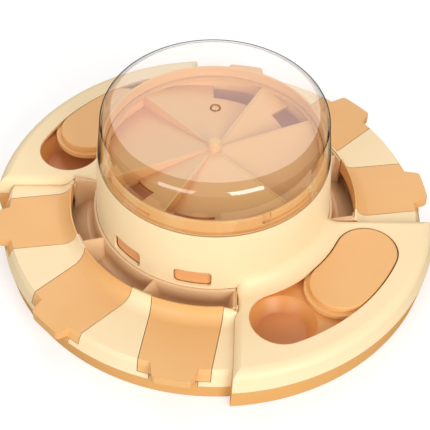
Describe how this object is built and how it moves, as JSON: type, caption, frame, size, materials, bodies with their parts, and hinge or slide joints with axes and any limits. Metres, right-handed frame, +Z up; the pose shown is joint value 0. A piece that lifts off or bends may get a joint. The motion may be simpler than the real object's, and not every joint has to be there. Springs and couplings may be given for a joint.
{
  "type": "pet treat puzzle dispenser",
  "caption": "Round pet treat puzzle with a turning treat barrel under a clear lid, radial sliding doors over treat pockets and curved sliding covers over treat cups",
  "frame": {"origin": "centre of the base on the surface that it stands on", "axes": "+Z up along the barrel's axis, +X right and +Y away from the viewer of the picture"},
  "size_m": [0.2934, 0.2934, 0.1117],
  "materials": {
    "orange_pan": "satin",
    "cream": "satin",
    "orange_trough": "satin",
    "orange_tray": "satin",
    "orange_slider": "satin",
    "orange_barrel": "satin",
    "orange_plate": "satin",
    "orange_door": "satin",
    "clear": "polished",
    "steel": "plain",
    "rubber": "matte"
  },
  "bodies": {
    "base": {"base_pan": "orange_pan", "top_cover": "cream", "trough_front": "orange_trough", "trough_back": "orange_trough", "bean_tray_front": "orange_tray", "bean_tray_back": "orange_tray", "pivot_washer": "steel", "pivot_screw": "steel", "cover_screws": "steel", "rubber_feet": "rubber"},
    "barrel_unit": {"barrel": "orange_barrel", "neck_ring": "orange_barrel", "ramp_plate": "orange_plate", "hub_knob": "orange_plate"},
    "lid": {"clear_lid": "clear"},
    "slider_front": {"bean_slider_front": "orange_slider"},
    "slider_back": {"bean_slider_back": "orange_slider"},
    "door_body_1": {"door_1": "orange_door"},
    "door_body_2": {"door_2": "orange_door"},
    "door_body_3": {"door_3": "orange_door"},
    "door_body_4": {"door_4": "orange_door"},
    "door_body_5": {"door_5": "orange_door"},
    "door_body_6": {"door_6": "orange_door"}
  },
  "joints": [
    {"name": "barrel_spin", "type": "hinge", "parent": "base", "child": "barrel_unit", "pos_m": [0, 0, 0.033], "axis": [0, 0, 1], "continuous": true},
    {"name": "lid_lift", "type": "slide", "parent": "barrel_unit", "child": "lid", "axis": [0, 0, 1], "range_m": [0, 0.05]},
    {"name": "slider_front_turn", "type": "hinge", "parent": "base", "child": "slider_front", "pos_m": [0, 0, 0.029], "axis": [0, 0, 1], "range_deg": [-24, 0]},
    {"name": "slider_back_turn", "type": "hinge", "parent": "base", "child": "slider_back", "pos_m": [0, 0, 0.029], "axis": [0, 0, 1], "range_deg": [-12, 12]},
    {"name": "door_1_slide", "type": "slide", "parent": "base", "child": "door_body_1", "axis": [-0.9874, -0.1582, 0], "range_m": [0, 0.026]},
    {"name": "door_2_slide", "type": "slide", "parent": "base", "child": "door_body_2", "axis": [-0.7059, -0.7083, 0], "range_m": [0, 0.026]},
    {"name": "door_3_slide", "type": "slide", "parent": "base", "child": "door_body_3", "axis": [-0.1547, -0.988, 0], "range_m": [0, 0.026]},
    {"name": "door_4_slide", "type": "slide", "parent": "base", "child": "door_body_4", "axis": [0.9874, 0.1582, 0], "range_m": [0, 0.026]},
    {"name": "door_5_slide", "type": "slide", "parent": "base", "child": "door_body_5", "axis": [0.7059, 0.7083, 0], "range_m": [0, 0.026]},
    {"name": "door_6_slide", "type": "slide", "parent": "base", "child": "door_body_6", "axis": [0.1547, 0.988, 0], "range_m": [0, 0.026]}
  ]
}
